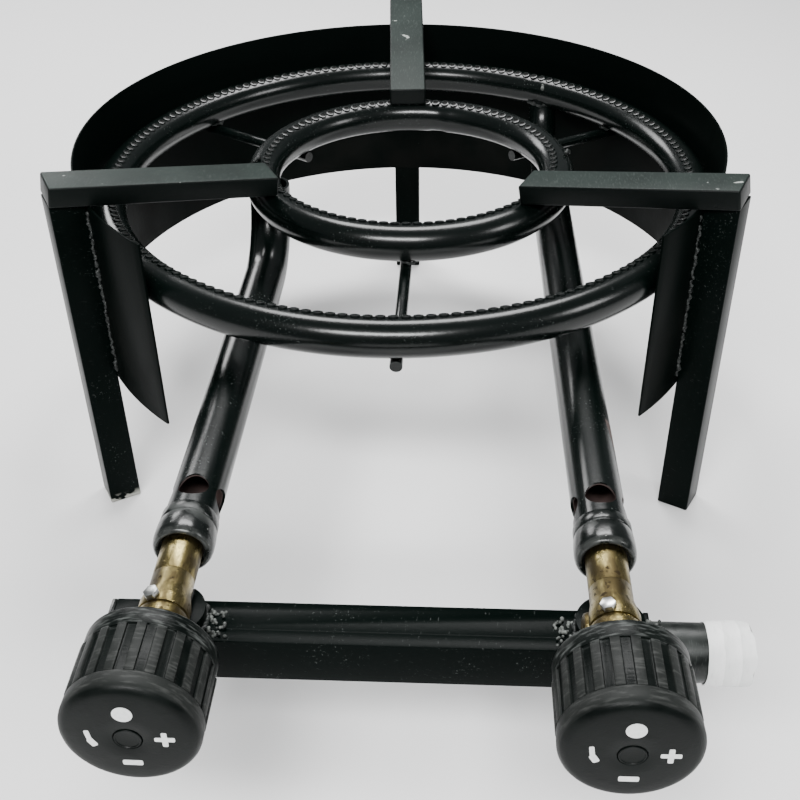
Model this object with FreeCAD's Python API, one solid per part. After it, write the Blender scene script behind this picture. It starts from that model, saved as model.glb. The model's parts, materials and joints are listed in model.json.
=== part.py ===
"""Two-ring stock pot burner on three legs, with two valves on a square gas manifold. Millimetres, +Z up.

The stand's axis is vertical through the middle of the wind skirt, the floor is at Z 0, the knobs face -Y and
the gas inlet points along +X. Everything is made about the stand's axis and moved once, at the end, so that
the origin is at the bottom centre of the whole object.
"""
import FreeCAD, Part
import math
import os

Vector = FreeCAD.Vector

# Burner rings: bent tube, centre lines given
ring_tube = 22.0
ring_wall = 1.5
outer_ring_radius = 187.0
inner_ring_radius = 95.0
outer_ring_shift = 1.0
inner_ring_shift = 7.0
outer_ring_height = 179.0
inner_ring_height = 185.0
port_diameter = 2.6
port_pitch = 6.7
port_lean = 16.0

# Wind skirt: a sheet band, open at the front between two azimuths
skirt_gap = 2.8
skirt_sheet = 1.5
skirt_top = 214.5
skirt_drop = 120.0
skirt_right_end = -43.2
skirt_left_end = 230.0

# Legs and pot arms, placed by hand on the real stand: each leg's azimuth, counter-clockwise from +X, then
# the heading of the arm on it, which is not quite radial, and how far that arm's tip is past the inner
# ring's centre line
stations = {"back": (91.3, 93.0, 7.0), "left": (210.0, 207.8, -1.7), "right": (331.5, 336.2, 4.5)}
leg_side = 20.0
leg_wall = 1.5
arm_width = 25.0
arm_depth = 12.0
arm_wall = 1.5
seat_gap = 0.25

# Ties: round rods under both rings, from an azimuth on the inner ring to one on the outer
tie_azimuths = {"front": (275.2, 272.3), "back_left": (141.0, 141.0), "back_right": (38.0, 38.0)}
tie_diameter = 7.0
tie_past_inner = 4.0
tie_past_outer = 6.0

# Mixing tubes: level, nearly along Y, each turned up into its ring at its feed point
burner_line = 141.0
left_line = -85.0
right_line = 108.0
mixing_tube = 25.4
mixing_wall = 1.6
mixing_mouth = -308.0
left_feed = (-82.0, -20.0)
right_feed_line = 101.5
riser_tube = 20.0
reducer_start = 74.0
reducer_length = 20.0
feed_hole = 15.0
air_hole = 14.5
air_hole_place = -277.0
air_hole_count = 4

# Mouth bell: pushed over the mixing tube's end
bell_length = 21.0
bell_diameter = 29.5
bell_skin = 1.1
bell_lip = 10.0
push_gap = 0.15

# Brass sleeve and injector between the bell and the valve
sleeve_diameter = 19.0
sleeve_wall = 2.0
sleeve_entry = 4.0
injector_diameter = 8.0
injector_length = 12.0
injector_jet = 1.2

# Valve body, along the burner line, its shoulder starting at valve_shoulder
valve_shoulder = -337.0
valve_tail = 8.0
valve_spigot = 5.0
valve_cone = 8.0
valve_barrel = 5.5
valve_groove = 1.5
valve_collar = 4.0
valve_diameter = 22.6
groove_depth = 0.9
valve_neck = 6.0
neck_diameter = 16.0
inlet_stub = 14.0
stub_bore = 9.6
gas_way_rise = 3.0

# Gas plug: a cone that turns in the valve body
plug_front_diameter = 12.0
plug_back_diameter = 10.0
plug_length = 14.0
plug_sink = 5.0
plug_bore = 5.0
plug_port = 3.6
low_port = 1.4
running_gap = 0.05

# Spindle, spring and bonnet
spindle_diameter = 5.8
spindle_flat = 1.2
tongue_width = 5.0
tongue_thick = 2.0
tongue_length = 3.0
collar_diameter = 9.2
collar_thick = 1.5
washer_diameter = 11.0
washer_thick = 0.8
spring_length = 9.4
spring_wire = 0.8
spring_mean = 8.6
bonnet_diameter = 20.0
bonnet_room = 12.4
bonnet_face = 1.8
press_travel = 3.0

# Knob, centre cap and low-flame screw
knob_diameter = 57.0
knob_back = -370.0
knob_length = 44.0
knob_collar = 9.0
knob_rim = 4.5
knob_bevel = 6.0
knob_dome = 1.2
knob_face = 5.0
knob_wall = 2.6
rib_count = 22
rib_height = 1.2
hub_diameter = 12.0
hub_gap = 4.0
spindle_grip = 20.0
cap_diameter = 11.0
cap_thick = 1.6
screw_thread = 3.0
screw_flats = 6.0
screw_head = 2.6
screw_reach = 3.6
screw_lean = 18.0

# Manifold, valve sockets and gas inlet
manifold_side = 24.0
manifold_wall = 2.0
manifold_top = 126.0
manifold_place = -338.0
manifold_left = -113.0
manifold_right = 124.0
end_plate = 2.5
socket_diameter = 30.0
socket_rise = 7.0
pipe_diameter = 26.4
pipe_bore = 20.8
pipe_reach = 43.5
tape_length = 20.0
tape_thick = 0.35

nodes = {}

# Sizes that follow from the ones above
ring_radius = ring_tube / 2
skirt_radius = outer_ring_radius + outer_ring_shift + ring_radius + skirt_gap
right_feed = (right_feed_line, math.sqrt(outer_ring_radius ** 2 - (right_feed_line - outer_ring_shift) ** 2))
skirt_outer = skirt_radius + skirt_sheet
leg_inner = skirt_outer + seat_gap
leg_outer = leg_inner + leg_side
valve_back = valve_shoulder + valve_tail
valve_front = valve_shoulder - valve_cone - valve_barrel - valve_groove - valve_collar
neck_front = valve_front - valve_neck
plug_front = neck_front + plug_sink
spring_front = plug_front - seat_gap - spring_length
washer_front = spring_front - seat_gap - washer_thick
bonnet_inside = washer_front - collar_thick - 2 * running_gap
port_place = plug_front + plug_length - plug_port
bonnet_front = bonnet_inside - bonnet_face
hub_back = bonnet_front - hub_gap
knob_front = knob_back - knob_length
manifold_middle = manifold_top - manifold_side / 2


def along_y(back, front, radius, x=0.0, z=0.0):
    """A round bar along Y, from its back end to its front end."""
    return Part.makeCylinder(radius, back - front, Vector(x, back, z), Vector(0, -1, 0))


def turned(profile):
    """A solid of revolution about the Y axis, from (y, radius) points and arcs given as triples of points."""
    edges = []
    for piece in profile:
        points = [Vector(radius, y, 0) for y, radius in piece]
        if len(points) == 3:
            edges.append(Part.Arc(*points).toShape())
        else:
            edges.append(Part.makeLine(*points))
    face = Part.Face(Part.Wire(edges))
    return face.revolve(Vector(0, 0, 0), Vector(0, 1, 0), 360)


def outline(points):
    """The straight edges from point to point and back to the first."""
    return [(points[i], points[(i + 1) % len(points)]) for i in range(len(points))]


def on_line(shape, line):
    """Moves a shape made about the Y axis to a burner line at X = line."""
    moved = shape.copy()
    moved.translate(Vector(line, 0, burner_line))
    return moved


def at_azimuth(shape, azimuth):
    """Turns a shape made along +X round the stand's axis."""
    moved = shape.copy()
    moved.rotate(Vector(0, 0, 0), Vector(0, 0, 1), azimuth)
    return moved


def reach(radius, shift, azimuth):
    """How far a ring's centre line lies from the stand's axis, in one azimuth."""
    angle = math.radians(azimuth)
    return shift * math.cos(angle) + math.sqrt(radius ** 2 - (shift * math.sin(angle)) ** 2)


def box_tube(length, width, depth, wall):
    """A rectangular tube along +X, from X 0, centred on Y, with its underside at Z 0."""
    tube = Part.makeBox(length, width, depth, Vector(0, -width / 2, 0))
    bore = Part.makeBox(length, width - 2 * wall, depth - 2 * wall, Vector(0, wall - width / 2, wall))
    return tube.cut(bore)


# Burner rings

def ring_solid(radius, shift, height, tube_radius):
    return Part.makeTorus(radius, tube_radius, Vector(shift, 0, height))


def burner_ring(radius, shift, height, feed):
    """A hollow ring with gas ports along its top, leaning inwards, and a feed hole in its underside."""
    ring = ring_solid(radius, shift, height, ring_radius)
    ring = ring.cut(ring_solid(radius, shift, height, ring_radius - ring_wall))
    count = round(2 * math.pi * radius / port_pitch)
    lean = math.radians(port_lean)
    ports = []
    for i in range(count):
        angle = 2 * math.pi * (i + 0.5) / count
        foot = Vector(shift + radius * math.cos(angle), radius * math.sin(angle), height)
        out = Vector(-math.cos(angle), -math.sin(angle), 0) * math.sin(lean) + Vector(0, 0, math.cos(lean))
        foot += out * (ring_radius - 2 * ring_wall)
        ports.append(Part.makeCylinder(port_diameter / 2, 3.5 * ring_wall, foot, out))
    down = Part.makeCylinder(feed_hole / 2, ring_tube, Vector(feed[0], feed[1], height), Vector(0, 0, -1))
    return ring.cut(Part.makeCompound(ports)).cut(down)


nodes["outer_ring"] = burner_ring(outer_ring_radius, outer_ring_shift, outer_ring_height, right_feed)
nodes["inner_ring"] = burner_ring(inner_ring_radius, inner_ring_shift, inner_ring_height, left_feed)


# Wind skirt

def wind_skirt():
    """A sheet band round the rings, open at the front."""
    bottom = skirt_top - skirt_drop
    corners = [(skirt_radius, bottom), (skirt_outer, bottom), (skirt_outer, skirt_top), (skirt_radius, skirt_top)]
    section = Part.makePolygon([Vector(radius, 0, height) for radius, height in corners + corners[:1]])
    band = Part.Face(section).revolve(Vector(0, 0, 0), Vector(0, 0, 1), skirt_left_end - skirt_right_end)
    return at_azimuth(band, skirt_right_end)


nodes["wind_skirt"] = wind_skirt()


# Pot arms and legs

def arm_slope(azimuth):
    """Radians down to the middle: the arm lies on the skirt's inner rim and on the inner ring's tube."""
    run = skirt_radius - reach(inner_ring_radius, inner_ring_shift, azimuth)
    rise = skirt_top + seat_gap - inner_ring_height
    return math.atan2(rise, run) - math.asin((ring_radius + seat_gap) / math.hypot(run, rise))


def under_arm(azimuth, radius):
    """Height of the arm's underside over the floor, at a distance from the stand's axis."""
    return skirt_top + seat_gap + (radius - skirt_radius) * math.tan(arm_slope(azimuth))


def at_station(shape, azimuth, heading):
    """Places a shape made along +X with its outer end at X 0: on the leg's outer face, at a heading."""
    moved = shape.copy()
    moved.rotate(Vector(0, 0, 0), Vector(0, 0, 1), heading)
    angle = math.radians(azimuth)
    moved.translate(Vector(leg_outer * math.cos(angle), leg_outer * math.sin(angle), 0))
    return moved


def pot_arm(azimuth, heading, past_ring):
    """A flat tube from the leg's outer face to its tip over the inner ring."""
    slope = arm_slope(azimuth)
    length = leg_outer - reach(inner_ring_radius, inner_ring_shift, azimuth) + past_ring
    long_side = length / math.cos(slope)
    tube = box_tube(long_side, arm_width, arm_depth, arm_wall)
    tube.translate(Vector(-long_side, 0, 0))
    tube.rotate(Vector(0, 0, 0), Vector(0, 1, 0), -math.degrees(slope))
    tube.translate(Vector(0, 0, under_arm(azimuth, leg_outer)))
    return at_station(tube, azimuth, heading)


def leg(azimuth, heading):
    """A square tube from the floor to the arm's underside, its top cut to the arm's slope."""
    tube = box_tube(skirt_top + leg_side, leg_side, leg_side, leg_wall)
    tube.rotate(Vector(0, 0, 0), Vector(0, 1, 0), -90)
    tube = at_azimuth(tube, azimuth)
    tube = at_station(tube, azimuth, 0)
    corner = Vector(-4 * leg_side, -2 * leg_side, -seat_gap)
    above = Part.makeBox(6 * leg_side, 4 * leg_side, 4 * leg_side, corner)
    above.rotate(Vector(0, 0, 0), Vector(0, 1, 0), -math.degrees(arm_slope(azimuth)))
    above.translate(Vector(0, 0, under_arm(azimuth, leg_outer)))
    return tube.cut(at_station(above, azimuth, heading))


for place, (azimuth, heading, past_ring) in stations.items():
    nodes["arm_" + place] = pot_arm(azimuth, heading, past_ring)
    nodes["leg_" + place] = leg(azimuth, heading)


# Ties

def on_ring(radius, shift, height, azimuth):
    """A point on a ring's centre line."""
    away = reach(radius, shift, azimuth)
    angle = math.radians(azimuth)
    return Vector(away * math.cos(angle), away * math.sin(angle), height)


def ring_tie(inner_azimuth, outer_azimuth):
    """A rod that lies against the undersides of both rings."""
    inner = on_ring(inner_ring_radius, inner_ring_shift, inner_ring_height, inner_azimuth)
    outer = on_ring(outer_ring_radius, outer_ring_shift, outer_ring_height, outer_azimuth)
    along = (outer - inner).normalize()
    level = Vector(along.x, along.y, 0).normalize()
    flat = math.hypot(along.x, along.y)
    down = (level * along.z - Vector(0, 0, flat)) * (ring_radius + tie_diameter / 2 + seat_gap)
    start = inner + down - along * tie_past_inner
    length = (outer - inner).Length + tie_past_inner + tie_past_outer
    return Part.makeCylinder(tie_diameter / 2, length, start, along)


for place, ends in tie_azimuths.items():
    nodes["tie_" + place] = ring_tie(*ends)


# Mixing tubes and mouth bells

def elbow(start, bend, radius):
    """A quarter bend from +Y to +Z."""
    circle = Part.makeCircle(radius, Vector(0, start, 0), Vector(0, 1, 0))
    face = Part.Face(Part.Wire(circle))
    return face.revolve(Vector(0, start, bend), Vector(1, 0, 0), 90)


def air_holes():
    place = air_hole_place - mixing_mouth
    holes = []
    for i in range(air_hole_count):
        angle = 2 * math.pi * i / air_hole_count
        out = Vector(math.sin(angle), 0, math.cos(angle))
        holes.append(Part.makeCylinder(air_hole / 2, mixing_tube, Vector(0, place, 0), out))
    return Part.makeCompound(holes)


def plain_run(length, bend, inset):
    """The left tube, one size all the way. inset is 0 for the outside and the wall for the bore."""
    radius = mixing_tube / 2 - inset
    return along_y(length - bend, 0, radius).fuse(elbow(length - bend, bend, radius))


def reduced_run(length, bend, inset):
    """The right tube, which narrows to the riser before its bend."""
    wide = mixing_tube / 2 - inset
    narrow = riser_tube / 2 - inset
    step = reducer_start - mixing_mouth
    run = along_y(step, 0, wide)
    run = run.fuse(Part.makeCone(wide, narrow, reducer_length, Vector(0, step, 0), Vector(0, 1, 0)))
    run = run.fuse(along_y(length - bend, step + reducer_length, narrow))
    return run.fuse(elbow(length - bend, bend, narrow))


def mixing_piece(make_run, line, feed, ring_height, seat):
    """A tube from its mouth to the feed point, its end cut to the ring's underside, with its air holes."""
    across = feed[0] - line
    away = feed[1] - mixing_mouth
    length = math.hypot(across, away)
    bend = ring_height - burner_line
    tube = make_run(length, bend, 0).cut(make_run(length, bend, mixing_wall)).cut(air_holes())
    tube.rotate(Vector(0, 0, 0), Vector(0, 0, 1), -math.degrees(math.atan2(across, away)))
    tube.translate(Vector(line, mixing_mouth, burner_line))
    return tube.cut(seat)


inner_seat = ring_solid(inner_ring_radius, inner_ring_shift, inner_ring_height, ring_radius + push_gap)
outer_seat = ring_solid(outer_ring_radius, outer_ring_shift, outer_ring_height, ring_radius + push_gap)
nodes["mixing_tube_left"] = mixing_piece(plain_run, left_line, left_feed, inner_ring_height, inner_seat)
nodes["mixing_tube_right"] = mixing_piece(reduced_run, right_line, right_feed, outer_ring_height, outer_seat)


def mouth_bell():
    """A turned socket over the tube's end, with a round nose that closes in to the brass sleeve."""
    back = mixing_mouth + bell_length - bell_lip
    front = mixing_mouth - bell_lip
    bore = mixing_tube / 2 + push_gap
    lip = sleeve_diameter / 2 + push_gap
    skin = bore + bell_skin
    belly = bell_diameter / 2
    nose = front + bell_lip * 0.8
    middle = math.sqrt(0.5)
    arc = (front + (nose - front) * (1 - middle), lip + bell_skin + (belly - lip - bell_skin) * middle)
    stop = mixing_mouth - push_gap
    profile = [((back, bore), (back, skin)), ((back, skin), (back - 3, skin)),
               ((back - 3, skin), (back - 5, belly)), ((back - 5, belly), (nose, belly)),
               ((nose, belly), arc, (front, lip + bell_skin)), ((front, lip + bell_skin), (front, lip)),
               ((front, lip), (front + 2, lip)), ((front + 2, lip), (stop, bore)),
               ((stop, bore), (back, bore))]
    return turned(profile)


# Brass sleeve, injector and valve body, each about the Y axis

def injector_sleeve():
    radius = sleeve_diameter / 2
    back = mixing_mouth + sleeve_entry
    tube = along_y(back, valve_back + push_gap, radius)
    return tube.cut(along_y(back, valve_back + push_gap, radius - sleeve_wall))


def injector():
    """A jet screwed into the valve's outlet."""
    back = valve_back + injector_length
    seat = valve_back - valve_spigot / 2
    body = along_y(back, valve_back + valve_spigot, injector_diameter / 2)
    shank = along_y(valve_back + valve_spigot, seat, plug_bore / 2 + 0.5 - push_gap)
    gas_way = along_y(back - 2, seat, plug_bore / 2 - 0.6)
    return body.fuse(shank).cut(gas_way).cut(along_y(back, seat, injector_jet / 2))


def plug_cone(extra):
    """The gas plug's cone, with extra radius all round."""
    front = plug_front_diameter / 2 + extra
    back = plug_back_diameter / 2 + extra
    cone = Part.makeCone(front, back, plug_length, Vector(0, plug_front, 0), Vector(0, 1, 0))
    cone.rotate(Vector(0, 0, 0), Vector(0, 1, 0), 45)
    return cone


def valve_body():
    radius = valve_diameter / 2
    neck_radius = neck_diameter / 2
    barrel_back = valve_shoulder - valve_cone
    groove_back = barrel_back - valve_barrel
    collar_back = groove_back - valve_groove
    sleeve_radius = sleeve_diameter / 2
    body = turned(outline([(valve_back, 0), (valve_back, sleeve_radius), (valve_shoulder, sleeve_radius),
                           (barrel_back, radius), (groove_back, radius), (groove_back, radius - groove_depth),
                           (collar_back, radius - groove_depth), (collar_back, radius), (valve_front, radius),
                           (valve_front, neck_radius), (neck_front, neck_radius), (neck_front, 0)]))
    spigot = along_y(valve_back + valve_spigot, valve_back, sleeve_radius - sleeve_wall - push_gap)
    stub_length = burner_line - manifold_top
    stub = Part.makeCylinder(inlet_stub / 2, stub_length, Vector(0, manifold_place, 0), Vector(0, 0, -1))
    body = body.fuse(spigot).fuse(stub)
    body = body.cut(plug_cone(running_gap))
    body = body.cut(along_y(plug_front, neck_front, plug_front_diameter / 2 + running_gap))
    outlet_foot = plug_front + plug_length
    body = body.cut(along_y(valve_back + valve_spigot, outlet_foot, plug_bore / 2))
    body = body.cut(along_y(valve_back + valve_spigot, valve_back - valve_spigot / 2, plug_bore / 2 + 0.5))
    down = Vector(0, 0, -1)
    gas_way = Part.makeCylinder(plug_port / 2, stub_length - gas_way_rise, Vector(0, port_place, 0), down)
    well = Part.makeCylinder(stub_bore / 2, 2 * gas_way_rise, Vector(0, manifold_place, -stub_length))
    side_foot = Vector(0, port_place, gas_way_rise - stub_length)
    side = Part.makeCylinder(plug_port / 2, manifold_place - port_place, side_foot, Vector(0, 1, 0))
    return body.cut(gas_way).cut(well).cut(side)


def screw_hole(radius):
    """Where the low-flame screw's thread goes in, about the Y axis."""
    place = valve_shoulder - valve_cone - valve_barrel / 2
    foot = Vector(0, place, valve_diameter / 2 - screw_reach)
    hole = Part.makeCylinder(radius, screw_reach + screw_head, foot)
    hole.rotate(Vector(0, 0, 0), Vector(0, 1, 0), -screw_lean)
    return hole


def low_flame_screw():
    place = valve_shoulder - valve_cone - valve_barrel / 2
    corner = screw_flats / math.sqrt(3)
    points = [Vector(corner * math.cos(k * math.pi / 3), place + corner * math.sin(k * math.pi / 3), 0)
              for k in range(7)]
    head = Part.Face(Part.makePolygon(points)).extrude(Vector(0, 0, screw_head))
    head.translate(Vector(0, 0, valve_diameter / 2 + push_gap))
    head.rotate(Vector(0, 0, 0), Vector(0, 1, 0), -screw_lean)
    inside_head = along_y(valve_back, valve_front, valve_diameter / 2 + screw_head / 2)
    return screw_hole(screw_thread / 2).common(inside_head).fuse(head)


def gas_plug():
    """The cone, with its slot for the spindle, its bore to the outlet and its two ports, full and low."""
    plug = plug_cone(0)
    slot_depth = tongue_length + press_travel + 2 * seat_gap
    slot_half = tongue_thick / 2 + running_gap
    corner = Vector(-plug_front_diameter, plug_front - seat_gap, -slot_half)
    slot = Part.makeBox(2 * plug_front_diameter, slot_depth + seat_gap, 2 * slot_half, corner)
    port = Vector(0, port_place, 0)
    outlet = along_y(plug_front + plug_length, port_place - plug_bore / 2, plug_bore / 2)
    plug = plug.cut(slot).cut(outlet)
    full = Part.makeCylinder(plug_port / 2, plug_front_diameter, port, Vector(-1, 0, 0))
    low = Part.makeCylinder(low_port / 2, plug_front_diameter, port, Vector(0, 0, 1))
    return plug.cut(full).cut(low)


def spindle():
    """A round bar with a tongue for the plug, a collar behind the bonnet's face and a flat for the knob."""
    radius = spindle_diameter / 2
    tongue_root = plug_front - spring_length / 2
    corner = Vector(-tongue_width / 2, tongue_root, -tongue_thick / 2)
    tongue = Part.makeBox(tongue_width, plug_front + tongue_length - tongue_root, tongue_thick, corner)
    round_back = plug_front - press_travel - seat_gap
    front = hub_back - spindle_grip
    bar = along_y(round_back, front, radius)
    collar = along_y(washer_front, washer_front - collar_thick, collar_diameter / 2)
    flat = Part.makeBox(2 * radius, spindle_grip, spindle_flat, Vector(-radius, front, radius - spindle_flat))
    return bar.fuse(tongue).fuse(collar).cut(flat)


def return_spring():
    """The compression spring between the plug and the washer, as a sleeve of the coil's inside and outside."""
    coil = along_y(spring_front + spring_length, spring_front, (spring_mean + spring_wire) / 2)
    return coil.cut(along_y(spring_front + spring_length, spring_front, (spring_mean - spring_wire) / 2))


def spring_washer():
    disc = along_y(washer_front + washer_thick, washer_front, washer_diameter / 2)
    return disc.cut(along_y(washer_front + washer_thick, washer_front, spindle_diameter / 2 + push_gap))


def bonnet():
    """A cap screwed over the valve's neck, which guides the spindle."""
    back = valve_front - push_gap
    cap = along_y(back, bonnet_front, bonnet_diameter / 2)
    cap = cap.cut(along_y(back, neck_front - push_gap, neck_diameter / 2 + running_gap))
    cap = cap.cut(along_y(neck_front, bonnet_inside, bonnet_room / 2))
    return cap.cut(along_y(bonnet_inside, bonnet_front, spindle_diameter / 2 + running_gap))


# Knob and cap, about the Y axis

def knob():
    """A cup with a smooth collar, a ribbed grip, a rounded rim and a hub that grips the spindle."""
    radius = knob_diameter / 2
    core = radius - rib_height
    ribs_back = knob_back - knob_collar
    rim_back = knob_front + knob_dome + knob_bevel + knob_rim
    bevel_back = knob_front + knob_dome + knob_bevel
    face_edge = knob_front + knob_dome
    middle = knob_bevel * (1 - math.sqrt(0.5))
    bevel = ((bevel_back, radius), (face_edge + middle, radius - middle), (face_edge, radius - knob_bevel))
    dome = ((face_edge, radius - knob_bevel), (knob_front + knob_dome * 0.25, (radius - knob_bevel) / 2),
            (knob_front, 0))
    shell = turned([((knob_back, 0), (knob_back, core)), ((knob_back, core), (rim_back, core)),
                    ((rim_back, core), (rim_back, radius)), ((rim_back, radius), (bevel_back, radius)),
                    bevel, dome, ((knob_front, 0), (knob_back, 0))])
    inside = core - knob_wall
    cavity_front = face_edge + knob_face
    shell = shell.cut(along_y(knob_back, cavity_front, inside))
    pitch = 2 * math.pi * radius / rib_count
    rib = Part.makeBox(2 * rib_height, ribs_back - rim_back, pitch / 2,
                       Vector(core - rib_height, rim_back, -pitch / 4))
    trim = along_y(ribs_back, rim_back, radius)
    ribs = []
    for i in range(rib_count):
        one = rib.copy()
        one.rotate(Vector(0, 0, 0), Vector(0, 1, 0), 360.0 * i / rib_count)
        ribs.append(one.common(trim))
    shell = shell.fuse(ribs)
    hub = along_y(hub_back, cavity_front, hub_diameter / 2)
    socket_radius = spindle_diameter / 2 + running_gap
    socket = along_y(hub_back, hub_back - spindle_grip - seat_gap, socket_radius)
    corner = Vector(-socket_radius, hub_back - spindle_grip - seat_gap, socket_radius - spindle_flat)
    key = Part.makeBox(2 * socket_radius, spindle_grip + seat_gap, spindle_flat, corner)
    shell = shell.fuse(hub).cut(socket.cut(key))
    recess = along_y(cap_back, knob_front, cap_diameter / 2 + push_gap)
    return shell.cut(recess)


cap_back = knob_front + cap_thick


def knob_cap():
    """A plug in the knob's face, with a shallow dish."""
    radius = cap_diameter / 2
    disc = along_y(cap_back, knob_front, radius)
    return disc.cut(along_y(knob_front + 0.4, knob_front, radius - 1.0))


valve_pieces = {
    "mouth_bell": mouth_bell(),
    "injector_sleeve": injector_sleeve(),
    "injector": injector(),
    "valve_body": valve_body().cut(screw_hole(screw_thread / 2)),
    "low_flame_screw": low_flame_screw(),
    "gas_plug": gas_plug(),
    "spindle": spindle(),
    "return_spring": return_spring(),
    "spring_washer": spring_washer(),
    "bonnet": bonnet(),
    "knob": knob(),
    "knob_cap": knob_cap(),
}
for side, line in {"left": left_line, "right": right_line}.items():
    for name, shape in valve_pieces.items():
        nodes[name + "_" + side] = on_line(shape, line)


# Manifold, valve sockets and gas inlet

def manifold():
    tube = box_tube(manifold_right - manifold_left, manifold_side, manifold_side, manifold_wall)
    tube.translate(Vector(manifold_left, manifold_place, manifold_top - manifold_side))
    for line in (left_line, right_line):
        foot = Vector(line, manifold_place, manifold_top)
        tube = tube.cut(Part.makeCylinder(stub_bore / 2, 2 * manifold_wall, foot, Vector(0, 0, -1)))
    return tube


def valve_socket(line):
    """A short round socket on the manifold, hollowed to the valve that screws into it."""
    foot = Vector(line, manifold_place, manifold_top)
    socket = Part.makeCylinder(socket_diameter / 2, socket_rise, foot)
    socket = socket.cut(Part.makeCylinder(inlet_stub / 2 + running_gap, socket_rise, foot))
    back = manifold_place + socket_diameter
    front = manifold_place - socket_diameter
    room = along_y(back, front, valve_diameter / 2 + push_gap, line, burner_line)
    return socket.cut(room)


def plate(x, hole):
    low = Vector(x, manifold_place - manifold_side / 2, manifold_top - manifold_side)
    sheet = Part.makeBox(end_plate, manifold_side, manifold_side, low)
    if not hole:
        return sheet
    start = Vector(x, manifold_place, manifold_middle)
    return sheet.cut(Part.makeCylinder(hole / 2, end_plate, start, Vector(1, 0, 0)))


def pipe_part(start, length, outside, inside):
    foot = Vector(start, manifold_place, manifold_middle)
    out = Vector(1, 0, 0)
    bore = Part.makeCylinder(inside / 2, length, foot, out)
    return Part.makeCylinder(outside / 2, length, foot, out).cut(bore)


pipe_start = manifold_right + end_plate
pipe_end = pipe_start + pipe_reach
nodes["manifold"] = manifold()
nodes["manifold_end_plate"] = plate(manifold_left - end_plate, 0)
nodes["inlet_end_plate"] = plate(manifold_right, pipe_bore)
nodes["inlet_pipe"] = pipe_part(pipe_start, pipe_reach, pipe_diameter, pipe_bore)
tape_outside = pipe_diameter + 2 * tape_thick
nodes["sealing_tape"] = pipe_part(pipe_end - tape_length, tape_length, tape_outside, pipe_diameter)
nodes["valve_socket_left"] = valve_socket(left_line)
nodes["valve_socket_right"] = valve_socket(right_line)


# The origin goes to the bottom centre of the whole object

whole = Part.makeCompound(list(nodes.values())).optimalBoundingBox()
to_origin = Vector(-whole.Center.x, -whole.Center.y, -whole.ZMin)
print("moved by", round(to_origin.x, 4), round(to_origin.y, 4), round(to_origin.z, 4))
os.makedirs("parts", exist_ok=True)
for name, shape in nodes.items():
    shape.translate(to_origin)
    print(name, len(shape.Solids), shape.isValid(), round(shape.Volume / 1000, 3))
    shape.exportStep("parts/" + name + ".step")
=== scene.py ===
"""A two-ring stock pot burner on three legs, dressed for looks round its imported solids."""

import math
import random

import bmesh
import bpy
from mathutils import Matrix, Vector
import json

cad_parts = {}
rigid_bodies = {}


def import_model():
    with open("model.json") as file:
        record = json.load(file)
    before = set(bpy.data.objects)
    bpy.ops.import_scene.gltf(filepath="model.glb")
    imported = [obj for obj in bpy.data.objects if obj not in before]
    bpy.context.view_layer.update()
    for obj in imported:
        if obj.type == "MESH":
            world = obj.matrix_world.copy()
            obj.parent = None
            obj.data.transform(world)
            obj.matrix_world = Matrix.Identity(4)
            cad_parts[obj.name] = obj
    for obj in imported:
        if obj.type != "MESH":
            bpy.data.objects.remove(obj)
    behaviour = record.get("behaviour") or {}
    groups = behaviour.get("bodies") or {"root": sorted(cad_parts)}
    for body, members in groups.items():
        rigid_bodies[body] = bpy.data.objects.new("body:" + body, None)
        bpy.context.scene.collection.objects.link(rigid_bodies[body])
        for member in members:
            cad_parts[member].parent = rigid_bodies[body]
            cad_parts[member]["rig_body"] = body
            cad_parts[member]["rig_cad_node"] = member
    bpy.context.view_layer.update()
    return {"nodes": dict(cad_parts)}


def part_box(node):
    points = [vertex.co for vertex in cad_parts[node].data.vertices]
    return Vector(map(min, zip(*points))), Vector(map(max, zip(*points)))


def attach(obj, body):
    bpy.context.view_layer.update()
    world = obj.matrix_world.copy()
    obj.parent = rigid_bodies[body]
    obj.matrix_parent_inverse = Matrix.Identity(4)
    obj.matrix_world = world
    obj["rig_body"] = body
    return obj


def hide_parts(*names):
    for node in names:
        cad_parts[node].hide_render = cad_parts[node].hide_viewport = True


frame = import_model()
bpy.ops.object.select_all(action="DESELECT")

MM = 0.001
STAND_ALONG = 94.9267
MIDDLE = Vector((0.0, STAND_ALONG, 0.0)) * MM
SMOOTH = math.radians(38)

# Shader maths


class Wire:
    """A value inside a paint, so that a pattern is written as a sum."""

    def __init__(self, paint, socket):
        self.paint = paint
        self.socket = socket

    def sum(self, how, first, second=0.0):
        return self.paint.node("ShaderNodeMath", {"operation": how}, {0: first, 1: second})

    def __add__(self, other):
        return self.sum("ADD", self, other)

    def __radd__(self, other):
        return self.sum("ADD", other, self)

    def __rsub__(self, other):
        return self.sum("SUBTRACT", other, self)

    def __mul__(self, other):
        return self.sum("MULTIPLY", self, other)

    def __pow__(self, other):
        return self.sum("POWER", self, other)

    def __lt__(self, other):
        return self.sum("LESS_THAN", self, other)


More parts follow.
